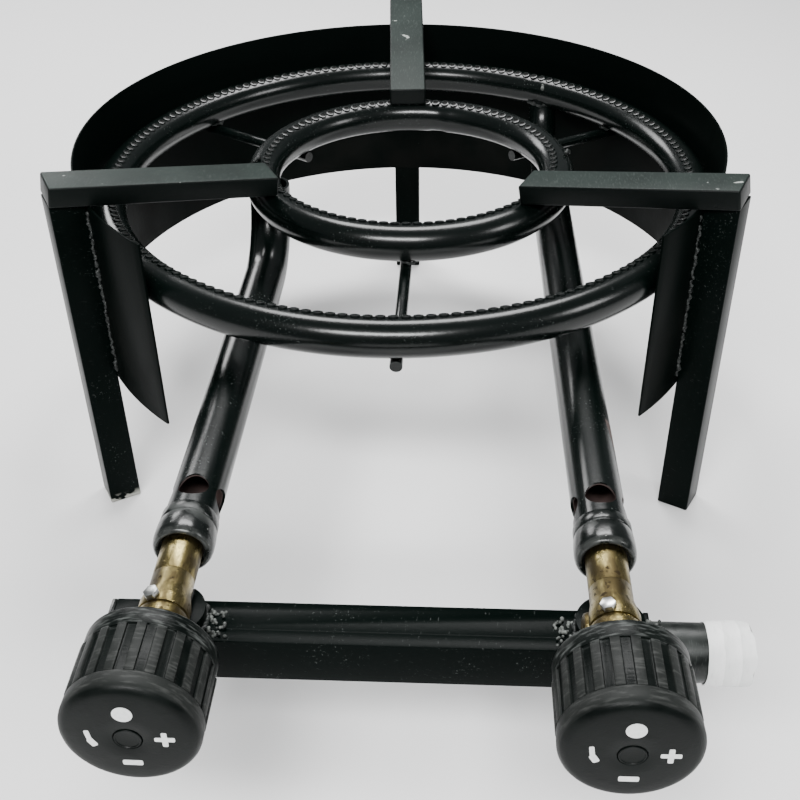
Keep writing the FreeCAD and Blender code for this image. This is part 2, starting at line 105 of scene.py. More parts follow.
class Paint:
    """A finish: one main shader and the patterns that feed it, laid out on the piece's own place."""

    def __init__(self, name, metal=0.0, coat=0.0, coat_rough=0.1, shine=0.5):
        self.finish = bpy.data.materials.new(name)
        self.finish.use_nodes = True
        self.tree = self.finish.node_tree
        self.shader = self.tree.nodes["Principled BSDF"]
        self.shader.inputs["Metallic"].default_value = metal
        self.shader.inputs["Coat Weight"].default_value = coat
        self.shader.inputs["Coat Roughness"].default_value = coat_rough
        self.shader.inputs["Specular IOR Level"].default_value = shine
        self.place = self.node("ShaderNodeTexCoord", {}, {}, "Object")

    def node(self, kind, settings, sockets, out=0):
        made = self.tree.nodes.new(kind)
        for key, value in settings.items():
            setattr(made, key, value)
        for key, value in sockets.items():
            if isinstance(value, Wire):
                self.tree.links.new(value.socket, made.inputs[key])
            else:
                made.inputs[key].default_value = value
        return Wire(self, made.outputs[out])

    def turned(self, offset=(0, 0, 0), stretch=(1, 1, 1), turn=(0, 0, 0)):
        """The piece's place, moved, turned and stretched."""
        return self.node("ShaderNodeMapping", {"vector_type": "TEXTURE"},
                         {"Vector": self.place, "Location": offset, "Rotation": turn, "Scale": stretch})

    def cloud(self, scale, detail=3.0, place=None):
        """Uneven noise; a larger scale is finer."""
        return self.node("ShaderNodeTexNoise", {},
                         {"Vector": place or self.place, "Scale": scale, "Detail": detail, "Roughness": 0.5})

    def cells(self, scale):
        return self.node("ShaderNodeTexVoronoi", {}, {"Vector": self.place, "Scale": scale}, "Distance")

    def ramp(self, value, low, high):
        """Nought up to low, one from high on, and even between."""
        return self.node("ShaderNodeMapRange", {"clamp": True},
                         {"Value": value, "From Min": low, "From Max": high, "To Min": 0.0, "To Max": 1.0})

    def mix(self, share, first, second):
        """The second colour laid over the first by its share."""
        wide = [c if isinstance(c, Wire) else (*c, 1) for c in (first, second)]
        return self.node("ShaderNodeMix", {"data_type": "RGBA"}, {0: share, 6: wide[0], 7: wide[1]}, 2)

    def parts(self, vector=None):
        """The three parts of a vector: across, along and up."""
        split = self.node("ShaderNodeSeparateXYZ", {}, {"Vector": vector or self.place})
        return [Wire(self, socket) for socket in split.socket.node.outputs]

    def facing_up(self):
        """How far the surface faces up, from its own normal."""
        return self.parts(self.node("ShaderNodeNewGeometry", {}, {}, "Normal"))[2]

    def set(self, colour, rough, *bumps, metal=None):
        """Joins the patterns to the main shader; each bump is a height and its depth in metres."""
        pairs = {"Base Color": colour, "Roughness": rough, "Metallic": metal}
        for key, value in pairs.items():
            if value is not None:
                self.tree.links.new(value.socket, self.shader.inputs[key])
        below = None
        for height, depth in bumps:
            sockets = {"Height": height, "Distance": depth, "Strength": 1.0}
            if below is not None:
                sockets["Normal"] = below
            below = self.node("ShaderNodeBump", {}, sockets)
        if below is not None:
            self.tree.links.new(below.socket, self.shader.inputs["Normal"])
        return self


# Each valve's middle, across and up, and the part of a mixing tube that shows its bore, in metres
VALVES = {"left": (-85.0, 141.0), "right": (108.0, 141.0)}
TUBE_BORE, AIR_HOLES_END = 0.0118, -0.12


def black_enamel(name, shine, gloss, bore=None):
    """Enamel, a little green, with orange peel, dust, scratches and a worn left foot, and rust in a bore."""
    paint = Paint(name, shine=shine)
    slow = paint.cloud(14, 4)
    dust = paint.ramp(paint.cloud(900, 2), 0.66, 0.74) * paint.ramp(paint.cloud(40, 3), 0.5, 0.62)
    drawn_out = paint.turned(stretch=(1, 1, 0.06), turn=(0.3, 0.2, 0.9))
    scratch = paint.ramp(paint.cloud(260, 2, drawn_out), 0.71, 0.75)
    colour = paint.mix(slow, (0.0004, 0.0016, 0.0012), (0.0012, 0.0032, 0.0026))
    colour = paint.mix(dust * 0.6, colour, (0.09, 0.10, 0.095))
    colour = paint.mix(scratch * 0.35, colour, (0.10, 0.11, 0.105))
    across, along, up = paint.parts()
    left_foot = paint.ramp(up, 0.0065, 0.002) * (across < -0.1)
    worn_foot = left_foot * paint.ramp(paint.cloud(180, 4), 0.44, 0.52)
    colour = paint.mix(worn_foot * 0.8, colour, (0.42, 0.42, 0.38))
    rough = gloss + slow * 0.14 + dust * 0.25 + worn_foot * 0.3
    if bore:
        across, along, up = paint.parts(paint.turned(offset=bore))
        inside = ((across * across + up * up) ** 0.5 < TUBE_BORE) * (along < AIR_HOLES_END)
        rust = paint.mix(paint.cloud(220, 4), (0.030, 0.020, 0.018), (0.085, 0.056, 0.052))
        colour = paint.mix(inside, colour, rust)
        rough = rough + inside * 0.4
    return paint.set(colour, rough, (paint.cloud(420, 2), 0.00004))


def tube_enamel(side):
    """The enamel of a mixing tube, whose rusty bore shows in its air holes."""
    x, z = VALVES[side]
    return black_enamel("tube_enamel_" + side, 0.33, 0.16, (x * MM, 0, z * MM))


def skirt_enamel():
    """The same enamel on sheet, duller, with rolling marks and soot towards its lower edge."""
    paint = Paint("skirt_enamel", shine=0.02)
    slow = paint.cloud(9, 4)
    across, along, up = paint.parts()
    soot = paint.ramp(up, 0.19, 0.11) * paint.ramp(paint.cloud(26, 5), 0.42, 0.66)
    rolled = paint.cloud(60, 2, paint.turned(stretch=(1, 1, 12)))
    colour = paint.mix(slow, (0.0006, 0.0016, 0.0013), (0.0016, 0.0032, 0.0026))
    colour = paint.mix(soot * 0.6, colour, (0.0060, 0.0062, 0.0056))
    rough = 0.30 + slow * 0.16 + soot * 0.2
    return paint.set(colour, rough, (rolled, 0.00018), (paint.cloud(380, 2), 0.00005))


def arm_paint():
    """Worn black paint on the pot rests, with chips at the corners; the top faces are painted lighter grey,
    a painted reflection of the overhead light, streaked along the grain.
    """
    paint = Paint("arm_paint", shine=0.12)
    # up is how far a face points up: it masks the painted reflection on the top faces.
    up = paint.ramp(paint.facing_up(), 0.75, 0.95)
    rub_and_sheen = paint.ramp(paint.cloud(30, 5), 0.25, 0.75)
    grain = paint.cloud(240, 3, paint.turned(stretch=(0.15, 1, 1)))
    chip = paint.ramp(paint.cloud(120, 4), 0.70, 0.73)
    colour = paint.mix(rub_and_sheen, (0.0008, 0.0020, 0.0017), (0.0022, 0.0040, 0.0034))
    # Painted reflection: the top faces are painted lighter grey, unevenly, and lighter still along the
    # grain, for the overhead light they reflect.
    colour = paint.mix(up * (0.55 + rub_and_sheen * 0.45), colour, (0.018, 0.026, 0.023))
    colour = paint.mix(up * paint.ramp(grain, 0.55, 0.75) * 0.3, colour, (0.09, 0.105, 0.097))
    colour = paint.mix(chip * up * 0.8, colour, (0.36, 0.38, 0.36))
    rough = 0.34 + grain * 0.14 + up * 0.08
    return paint.set(colour, rough, (grain, 0.00008), (chip, -0.00012))


def burnt_weld():
    """Weld metal under paint: lumpy, dull grey black, painted lighter on its crests as a highlight."""
    paint = Paint("burnt_weld", shine=0.3)
    lump = paint.cloud(420, 4)
    # Painted highlight: the higher the lump, the lighter the colour.
    colour = paint.mix(paint.ramp(lump, 0.4, 0.7), (0.002, 0.0032, 0.0029), (0.030, 0.034, 0.032))
    return paint.set(colour, 0.36 + lump * 0.2, (lump, 0.00025))


def bare_weld():
    """Weld metal where the paint has gone: grey, painted bright on its crests as a highlight."""
    paint = Paint("bare_weld", metal=0.2, shine=0.3)
    lump = paint.cloud(380, 4)
    # Painted highlight: the higher the lump, the brighter the colour.
    colour = paint.mix(paint.ramp(lump, 0.35, 0.65), (0.012, 0.014, 0.013), (0.15, 0.16, 0.15))
    return paint.set(colour, 0.5 + lump * 0.2, (lump, 0.0003))


def port_edge():
    """The raised burr round a gas port, painted a little lighter on its rim: partly rubbing, partly a
    painted highlight of the lit rim.
    """
    paint = Paint("port_edge", shine=0.2)
    wear_and_highlight = paint.ramp(paint.cloud(700, 3), 0.35, 0.7)
    # Painted highlight, partly wear: the rim is lighter than the enamel round it.
    colour = paint.mix(wear_and_highlight, (0.0014, 0.0026, 0.0022), (0.018, 0.022, 0.020))
    return paint.set(colour, 0.42 + wear_and_highlight * 0.2, (paint.cloud(900, 2), 0.00008))


def port_pit_shade():
    """The matte near-black floor of a gas port or an air hole: painted shade for the depth of the drilled
    hole, mottled like soot.
    """
    paint = Paint("port_pit_shade")
    soot = paint.cloud(500, 3)
    colour = paint.mix(soot, (0.0006, 0.0006, 0.0006), (0.003, 0.0026, 0.0024))
    return paint.set(colour, 0.8 + soot * 0.2, (soot, 0.0001))


def brass(name, dull):
    """Turned brass with lathe rings, brown tarnish and rubbed bright places."""
    paint = Paint(name, metal=1.0)
    across, along, up = paint.parts()
    rings = paint.node("ShaderNodeTexWave", {"bands_direction": "Y"},
                       {"Vector": paint.place, "Scale": 420.0, "Distortion": 0.6, "Detail": 1.0}, "Fac")
    stain = paint.ramp(paint.cloud(85, 5, paint.turned(stretch=(0.6, 1.8, 0.6))), 0.40, 0.56)
    spot = paint.ramp(paint.cloud(330, 4), 0.60, 0.68)
    colour = paint.mix(stain * dull, (0.27, 0.220, 0.090), (0.070, 0.054, 0.024))
    colour = paint.mix(spot * 0.75 * dull, colour, (0.028, 0.020, 0.012))
    rough = 0.22 + stain * 0.22 + rings * 0.06 + spot * 0.2
    return paint.set(colour, rough, (rings, 0.000025), (spot, 0.00008))


def zinc_steel():
    """Zinc-plated steel, pale grey with a slight spangle and white bloom."""
    paint = Paint("zinc_steel", metal=1.0)
    spangle = paint.cells(420)
    bloom = paint.ramp(paint.cloud(160, 4), 0.5, 0.68)
    colour = paint.mix(spangle, (0.42, 0.43, 0.42), (0.62, 0.63, 0.61))
    colour = paint.mix(bloom * 0.6, colour, (0.72, 0.73, 0.70))
    return paint.set(colour, 0.28 + bloom * 0.3, (spangle, 0.00005))


def pipe_steel():
    """A black steel pipe, oily and scuffed, with handling scratches round it."""
    paint = Paint("pipe_steel", metal=0.1, shine=0.35)
    scuff = paint.ramp(paint.cloud(70, 5), 0.45, 0.7)
    lines = paint.ramp(paint.cloud(300, 2, paint.turned(stretch=(0.1, 1, 1))), 0.6, 0.75)
    colour = paint.mix(scuff, (0.0028, 0.0044, 0.0038), (0.016, 0.020, 0.018))
    colour = paint.mix(lines * 0.3, colour, (0.12, 0.13, 0.125))
    return paint.set(colour, 0.33 + scuff * 0.2, (lines, 0.00005), (scuff, 0.00006))


def bell_enamel():
    """Black enamel on the air bell; its rolled lip is painted brighter, a painted highlight arc that is
    partly wear to bright metal.
    """
    paint = Paint("bell_enamel", shine=0.42)
    across, along, up = paint.parts()
    lip = paint.ramp(along, -0.2120, -0.2148)
    # Painted highlight on the lip, partly real wear: a brighter, half-metal arc.
    wear_and_highlight = lip * paint.ramp(paint.cloud(180, 4), 0.38, 0.6)
    fleck = paint.ramp(paint.cloud(520, 3), 0.70, 0.74)
    scuff = paint.ramp(along, -0.208, -0.201) * paint.ramp(paint.cloud(120, 5), 0.46, 0.62)
    colour = paint.mix(paint.cloud(60, 4), (0.0014, 0.0026, 0.0022), (0.0045, 0.0062, 0.0055))
    colour = paint.mix(wear_and_highlight * 0.3, colour, (0.20, 0.21, 0.20))
    colour = paint.mix(scuff * 0.6, colour, (0.045, 0.050, 0.047))
    colour = paint.mix(fleck * 0.5, colour, (0.30, 0.31, 0.29))
    rough = 0.22 + wear_and_highlight * 0.10 + scuff * 0.3
    return paint.set(colour, rough, (paint.cloud(260, 3), 0.0001), metal=wear_and_highlight * 0.6)


def knob_plastic(name, middle):
    """Hard black moulded plastic with a fine skin, dusty in its grooves and worn on its ribs."""
    paint = Paint(name, shine=0.11)
    centred = paint.turned(offset=middle)
    across, along, up = paint.parts(centred)
    radius = (across * across + up * up) ** 0.5
    collar = paint.ramp(along, -0.2865, -0.2840)
    crest = paint.ramp(radius, 0.0274, 0.0283) * (1 - collar)
    dust = paint.ramp(paint.cloud(70, 5), 0.4, 0.72)
    streak = paint.ramp(paint.cloud(150, 4, paint.turned(stretch=(1, 0.2, 1))), 0.5, 0.75)
    colour = paint.mix(dust, (0.0010, 0.0022, 0.0018), (0.0038, 0.0056, 0.0048))
    colour = paint.mix(crest * (0.30 + streak * 0.70), colour, (0.040, 0.042, 0.040))
    colour = paint.mix(collar * streak * 0.8, colour, (0.085, 0.092, 0.088))
    rough = 0.34 + dust * 0.12 + crest * 0.12
    return paint.set(colour, rough, (paint.cloud(1500, 2), 0.00004), (streak, 0.00005))


def mark_paint():
    """White pad-printed marks, a little thin at the edges."""
    paint = Paint("mark_paint")
    thin = paint.ramp(paint.cloud(700, 3), 0.35, 0.75)
    colour = paint.mix(thin, (0.80, 0.82, 0.80), (0.92, 0.93, 0.92))
    return paint.set(colour, 0.5 + thin * 0.1, (thin, 0.00003))


def white_tape():
    """Thread tape: thin matt white film in turns, with stretch creases painted darker as their shade."""
    paint = Paint("white_tape", coat=0.05, coat_rough=0.4)
    turns = paint.node("ShaderNodeTexWave", {"bands_direction": "X", "wave_profile": "SAW"},
                       {"Vector": paint.place, "Scale": 42.0, "Distortion": 1.4, "Detail": 2.0,
                        "Detail Scale": 1.6}, "Fac")
    crease = paint.cloud(230, 4, paint.turned(stretch=(0.35, 1, 1)))
    colour = paint.mix(turns, (0.74, 0.755, 0.745), (0.90, 0.905, 0.90))
    # Painted shade: darker grey along the creases.
    colour = paint.mix(paint.ramp(crease, 0.55, 0.75) * 0.35, colour, (0.55, 0.57, 0.56))
    return paint.set(colour, 0.55 + crease * 0.15, (turns, 0.0003), (crease, 0.00035))


ENAMEL = black_enamel("black_enamel", 0.33, 0.16)
BAR = black_enamel("bar_enamel", 0.03, 0.24)
SKIRT = skirt_enamel()
ARM = arm_paint()
WELD = burnt_weld()
BARE = bare_weld()
PORT = port_edge()
BORE = port_pit_shade()
BRASS = brass("brass", 1.0)
BRASS_CLEAN = brass("brass_clean", 0.35)
ZINC = zinc_steel()
PIPE = pipe_steel()
BELL = bell_enamel()
MARK = mark_paint()
TAPE = white_tape()

# Modelling helpers


def only(piece):
    """Selects one piece alone and makes it the active one."""
    bpy.ops.object.select_all(action="DESELECT")
    piece.select_set(True)
    bpy.context.view_layer.objects.active = piece


def settle(piece):
    """Makes a piece's own place, turn and size part of its mesh."""
    only(piece)
    bpy.ops.object.transform_apply(location=True, rotation=True, scale=True)


def edit():
    bpy.ops.object.mode_set(mode="EDIT")


def leave():
    bpy.ops.object.mode_set(mode="OBJECT")
    return bpy.context.object


def pick(test, kind="FACE"):
    """In edit mode, selects the faces or vertices that pass a test."""
    mesh = bpy.context.object.data
    bpy.ops.mesh.select_mode(type=kind)
    bpy.ops.mesh.select_all(action="DESELECT")
    form = bmesh.from_edit_mesh(mesh)
    for one in form.faces if kind == "FACE" else form.verts:
        if test(one):
            one.select_set(True)
    form.select_flush_mode()
    bmesh.update_edit_mesh(mesh)


def heal():
    """Merges doubles and turns every face outwards."""
    edit()
    bpy.ops.mesh.select_all(action="SELECT")
    bpy.ops.mesh.remove_doubles(threshold=2e-6)
    bpy.ops.mesh.normals_make_consistent(inside=False)
    return leave()


def modify(piece, kind, **settings):
    """Adds a modifier and applies it."""
    only(piece)
    added = piece.modifiers.new(kind.lower(), kind)
    for key, value in settings.items():
        setattr(added, key, value)
    bpy.ops.object.modifier_apply(modifier=added.name)
    return piece


def rounded(piece, width, segments=2, angle=32):
    """Softens the edges that are sharper than this angle."""
    return modify(piece, "BEVEL", width=width, segments=segments, limit_method="ANGLE",
                  angle_limit=math.radians(angle), harden_normals=False)


def drawn(points):
    """A line through these points, drawn out corner by corner from the middle of a plane."""
    bpy.ops.mesh.primitive_plane_add(size=MM, location=points[0])
    edit()
    bpy.ops.mesh.select_mode(type="VERT")
    bpy.ops.mesh.select_all(action="SELECT")
    bpy.ops.mesh.merge(type="CENTER")
    for start, end in zip(points, points[1:]):
        bpy.ops.mesh.extrude_region_move(TRANSFORM_OT_translate={"value": Vector(end) - Vector(start)})


def turned(outline, middle, steps=64):
    """A round piece about the Y axis, spun from its outline of (place along Y, radius) in millimetres."""
    x, z = middle
    drawn([Vector((x * MM + radius * MM, along * MM, z * MM)) for along, radius in outline])
    bpy.ops.mesh.select_all(action="SELECT")
    bpy.ops.mesh.spin(steps=steps, angle=2 * math.pi, center=(x * MM, 0, z * MM), axis=(0, 1, 0))
    leave()
    piece = heal()
    bpy.ops.object.transform_apply(location=True, rotation=True, scale=True)
    return piece


def join(pieces):
    """One piece out of several."""
    bpy.ops.object.select_all(action="DESELECT")
    for piece in pieces:
        piece.select_set(True)
    bpy.context.view_layer.objects.active = pieces[0]
    if len(pieces) > 1:
        bpy.ops.object.join()
    return bpy.context.object


def finish(piece, name, body, paint, nodes=(), angle=SMOOTH):
    """Puts a finished piece at the origin, paints it and lets it ride on its body."""
    settle(piece)
    bpy.ops.object.shade_smooth_by_angle(angle=angle)
    piece.name = name
    piece.data.name = name
    if not piece.data.materials:
        piece.data.materials.append(paint.finish)
    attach(piece, body)
    if nodes:
        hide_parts(*nodes)
    return piece


def copied(node, flat=True):
    """A merged copy of a solid; flat sides are made whole where it has them."""
    only(frame["nodes"][node])
    bpy.ops.object.duplicate()
    bpy.ops.object.parent_clear(type="CLEAR_KEEP_TRANSFORM")
    piece = bpy.context.object
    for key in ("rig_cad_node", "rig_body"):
        del piece[key]
    piece.data.materials.clear()
    edit()
    bpy.ops.mesh.select_all(action="SELECT")
    bpy.ops.mesh.remove_doubles(threshold=5e-6)
    bpy.ops.mesh.customdata_custom_splitnormals_clear()
    bpy.ops.mesh.select_all(action="SELECT")
    if flat:
        bpy.ops.mesh.dissolve_limited(angle_limit=math.radians(0.5))
    return leave()


def dressed(node, paint, edge=0.0, segments=2, closed=False):
    """A solid's copy in its place, with a finish and edges softened by so many millimetres.

    A tube that is closed gets its ends filled.
    """
    piece = copied(node, edge > 0)
    if closed:
        edit()
        bpy.ops.mesh.select_all(action="SELECT")
        bpy.ops.mesh.convex_hull(use_existing_faces=False)
        bpy.ops.mesh.select_all(action="SELECT")
        bpy.ops.mesh.dissolve_limited(angle_limit=math.radians(0.5))
        leave()
    if edge:
        rounded(piece, edge * MM, segments)
    return finish(piece, node + "_dressed", frame["nodes"][node]["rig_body"], paint, [node])


def coated(node, paint):
    """A solid that stays as it is, with a real finish."""
    mesh = frame["nodes"][node].data
    mesh.materials.clear()
    mesh.materials.append(paint.finish)


# Camera, floor and light

ACROSS, ALONG, UP = 38.2, -591.67, 506.4
PITCH, YAW, ROLL = 0.6336, -0.058294, 0.0163

ahead = Vector((math.sin(YAW) * math.cos(PITCH), math.cos(YAW) * math.cos(PITCH), -math.sin(PITCH)))
right = Vector((math.cos(YAW), -math.sin(YAW), 0))
down = ahead.cross(right)
right, down = (math.cos(ROLL) * right + math.sin(ROLL) * down,
               -math.sin(ROLL) * right + math.cos(ROLL) * down)
turn = Matrix((right, -down, -ahead)).transposed().to_4x4()
bpy.ops.object.camera_add()
camera = bpy.context.object
camera.name = "camera"
camera.data.lens = 51.59
camera.data.sensor_width = 36
camera.data.clip_start = 0.01
camera.matrix_world = Matrix.Translation(Vector((ACROSS, ALONG, UP)) * MM) @ turn
bpy.context.scene.camera = camera

FLOOR_RADIUS, UNDER_FEET = 2.6, 0.0005
bpy.ops.mesh.primitive_circle_add(vertices=96, radius=FLOOR_RADIUS, fill_type="NGON",
                                  location=(0, 0, -UNDER_FEET))
floor = bpy.context.object
floor.name = "floor"
pale = Paint("pale_floor")
pale.set(pale.mix(pale.cloud(3, 3), (0.80, 0.80, 0.80), (0.84, 0.84, 0.84)), 0.75 + pale.cloud(30, 3) * 0.1)
floor.data.materials.append(pale.finish)


def softbox(name, place, target, size, power, tall=None):
    """A rectangular lamp that looks at its target; places in metres, power in watts."""
    bpy.ops.object.light_add(type="AREA", location=place)
    lamp = bpy.context.object
    lamp.name = name
    lamp.data.shape = "RECTANGLE"
    lamp.data.size = size
    lamp.data.size_y = tall or size
    lamp.data.energy = power
    lamp.rotation_euler = (Vector(target) - Vector(place)).to_track_quat("-Z", "Y").to_euler()


softbox("overhead", (0.0, 0.75, 1.5), (0, 0.1, 0.15), size=1.1, power=40, tall=0.5)
softbox("front_key", (-0.15, -1.25, 1.55), (0, -0.1, 0.1), size=1.0, power=50, tall=0.28)
softbox("side_fill", (1.5, -0.5, 1.0), (0, 0, 0.1), size=0.4, power=9)
softbox("back_rim", (-0.9, 1.3, 0.9), (0, 0.1, 0.15), size=0.5, power=10)

world = bpy.data.worlds.new("studio")
bpy.context.scene.world = world
world.use_nodes = True
world.node_tree.nodes["Background"].inputs["Color"].default_value = (0.95, 0.97, 1.0, 1)
world.node_tree.nodes["Background"].inputs["Strength"].default_value = 0.22

# Burner rings: a bent tube with a row of drilled ports, each with the burr the drill leaves

PORT_TILT = math.radians(16)
TUBE = 11.0
OUTER_ACROSS, OUTER_HEIGHT, OUTER_RADIUS, OUTER_PORTS = 1, 179, 187, 175
INNER_ACROSS, INNER_HEIGHT, INNER_RADIUS, INNER_PORTS = 7, 185, 95, 89
SEAM_HALF, SEAM_SINK = 0.004, 0.0006
BURR_SIDES, BURR_RADIUS, BURR_TALL = 12, 2.75, 1.2
BURR_RIM = [(0.70, 0.15), (0.35, 0.05)]
BURR_HOLE = [(0.10, -0.20), (0.04, -0.45)]


def inset(steps):
    """Draws the chosen faces in and out by steps of (inwards, outwards)."""
    for inwards, outwards in steps:
        bpy.ops.mesh.inset(thickness=inwards * MM, depth=outwards * MM)


def burner_ring(node, across, height, radius, ports, seam):
    """A ring tube with raised burrs round its ports and the butt weld of its ends."""
    middle = Vector((across, STAND_ALONG, height)) * MM
    bpy.ops.mesh.primitive_torus_add(major_segments=160, minor_segments=28, major_radius=radius * MM,
                                     minor_radius=TUBE * MM, location=middle, rotation=(0, 0, seam))
    tube = bpy.context.object
    edit()
    pick(lambda v: abs(v.co.y) < SEAM_HALF and v.co.x > 0, "VERT")
    bpy.ops.transform.shrink_fatten(value=-SEAM_SINK)
    leave()
    settle(tube)

    out = radius - TUBE * math.sin(PORT_TILT)
    top = TUBE * math.cos(PORT_TILT)
    place = middle + Vector((out, 0, top)) * MM
    bpy.ops.mesh.primitive_cylinder_add(vertices=BURR_SIDES, radius=BURR_RADIUS * MM, depth=BURR_TALL * MM,
                                        end_fill_type="NGON", location=place, rotation=(0, -PORT_TILT, 0))
    burr = bpy.context.object
    for piece in (tube, burr):
        for paint in (ENAMEL, PORT, BORE):
            piece.data.materials.append(paint.finish)
    edit()
    pick(lambda f: f.normal.z < -0.9)
    bpy.ops.mesh.delete(type="FACE")
    pick(lambda f: f.normal.z > 0.9)
    inset(BURR_RIM)
    # The rim round the hole takes the lighter burr finish, partly a painted highlight.
    burr.active_material_index = 1
    bpy.ops.mesh.select_more()
    bpy.ops.object.material_slot_assign()
    # The shallow pit in the middle is floored with the near-black finish, a painted shade for the drilled
    # hole's depth.
    pick(lambda f: f.normal.z > 0.99 and len(f.verts) > 6)
    inset(BURR_HOLE)
    burr.active_material_index = 2
    bpy.ops.object.material_slot_assign()
    bpy.ops.mesh.select_all(action="SELECT")
    bpy.ops.mesh.spin(steps=ports - 1, dupli=True, angle=2 * math.pi * (ports - 1) / ports,
                      center=middle, axis=(0, 0, 1))
    leave()
    settle(burr)
    piece = join([tube, burr])
    return finish(piece, node + "_drilled", "stand", ENAMEL, [node])


OUTER_SEAM, INNER_SEAM = math.radians(60), math.radians(80)
burner_ring("outer_ring", OUTER_ACROSS, OUTER_HEIGHT, OUTER_RADIUS, OUTER_PORTS, OUTER_SEAM)
burner_ring("inner_ring", INNER_ACROSS, INNER_HEIGHT, INNER_RADIUS, INNER_PORTS, INNER_SEAM)

# Wind skirt: rolled sheet, open at the front

SKIRT_FROM, SKIRT_TO = math.radians(-43.2), math.radians(230)
SKIRT_IN, SKIRT_OUT, SKIRT_LOW, SKIRT_TOP = 201.8, 203.3, 94.5, 214.5


def wind_skirt():
    """The sheet's section, turned about the stand's middle."""
    first = Vector((math.cos(SKIRT_FROM), math.sin(SKIRT_FROM), 0))
    outline = [(SKIRT_IN, SKIRT_LOW), (SKIRT_OUT, SKIRT_LOW), (SKIRT_OUT, SKIRT_TOP), (SKIRT_IN, SKIRT_TOP)]
    points = [MIDDLE + first * out * MM + Vector((0, 0, up * MM)) for out, up in outline]
    drawn(points + points[:1])
    bpy.ops.mesh.select_all(action="SELECT")
    bpy.ops.mesh.remove_doubles(threshold=2e-6)
    bpy.ops.mesh.select_all(action="SELECT")
    bpy.ops.mesh.edge_face_add()
    bpy.ops.mesh.spin(steps=150, angle=-(SKIRT_TO - SKIRT_FROM), center=MIDDLE, axis=(0, 0, 1))
    leave()
    piece = heal()
    rounded(piece, 0.45 * MM, 2, 50)
    return finish(piece, "wind_skirt_rolled", "stand", SKIRT, ["wind_skirt"])


wind_skirt()

# Legs, pot rests, manifold and pipes: tube and bar with drawn corners

for side in ("back", "left", "right"):
    dressed("leg_" + side, BAR, edge=1.6, segments=3)
    dressed("arm_" + side, ARM, edge=1.3, segments=3, closed=True)
dressed("manifold", BAR, edge=1.8, segments=3)
for node in ("manifold_end_plate", "inlet_end_plate"):
    dressed(node, ENAMEL, edge=0.5)
for side in ("left", "right"):
    dressed("valve_socket_" + side, BAR, edge=0.8)
    dressed("mixing_tube_" + side, tube_enamel(side))
for side in ("front", "back_left", "back_right"):
    dressed("tie_" + side, ENAMEL)
dressed("inlet_pipe", PIPE, edge=0.5)

# Air bells, sleeves and valves

# Along the tube and outwards: the rim on the tube, a groove, the belly and the rolled lip round the mouth
BELL_OUTLINE = [(-194.6, 12.85), (-194.4, 13.6), (-199.8, 13.7), (-200.2, 13.3), (-201.0, 13.3),
                (-201.4, 13.85), (-206.0, 14.15), (-210.4, 14.2), (-212.9, 13.9), (-214.6, 13.2),
                (-215.4, 12.3), (-215.5, 11.6), (-215.1, 11.0), (-213.9, 10.6), (-213.3, 9.7),
                (-213.2, 12.85), (-194.6, 12.85)]
BOSS_OUTLINE = [(7.5, 0.0), (7.5, 6.6), (2.2, 6.6), (0.9, 6.1), (0.2, 4.6), (0.0, 2.4), (0.0, 0.0)]
BOSS_PLACE = Vector((94.6, -251.0, 136.5))

for side, middle in VALVES.items():
    bell = turned(BELL_OUTLINE, middle, 72)
    rounded(bell, 0.35 * MM, 2, 24)
    finish(bell, "mouth_bell_" + side + "_rolled", "stand", BELL, ["mouth_bell_" + side])
    for node in ("injector_sleeve_", "valve_body_", "bonnet_"):
        dressed(node + side, BRASS, edge=0.35)
    for node in ("injector_", "gas_plug_"):
        coated(node + side, BRASS_CLEAN)
    for node in ("spindle_", "spring_washer_", "return_spring_"):
        coated(node + side, ZINC)
    dressed("low_flame_screw_" + side, ZINC, edge=0.25)

boss = turned(BOSS_OUTLINE, (0, 0), 40)
boss.rotation_euler = (0, 0, -math.pi / 2)
boss.location = BOSS_PLACE * MM
finish(boss, "valve_boss_right", "stand", BRASS)

# Control knobs: a cup with 22 flat ribs, a smooth collar, a round front edge and printed marks

KNOB_BACK, KNOB_FRONT = -275.0733, -319.0733
RIBS_BACK, RIBS_FRONT = -284.3, -308.3
HUB_BACK, HUB, CUP = -280.0, 6.5, 24.6
COLLAR, CORE, CREST = 27.9, 27.3, 28.5
FACE_BEND = 4.8
RIBS, STEPS = 22, 6
DISC = 5.45


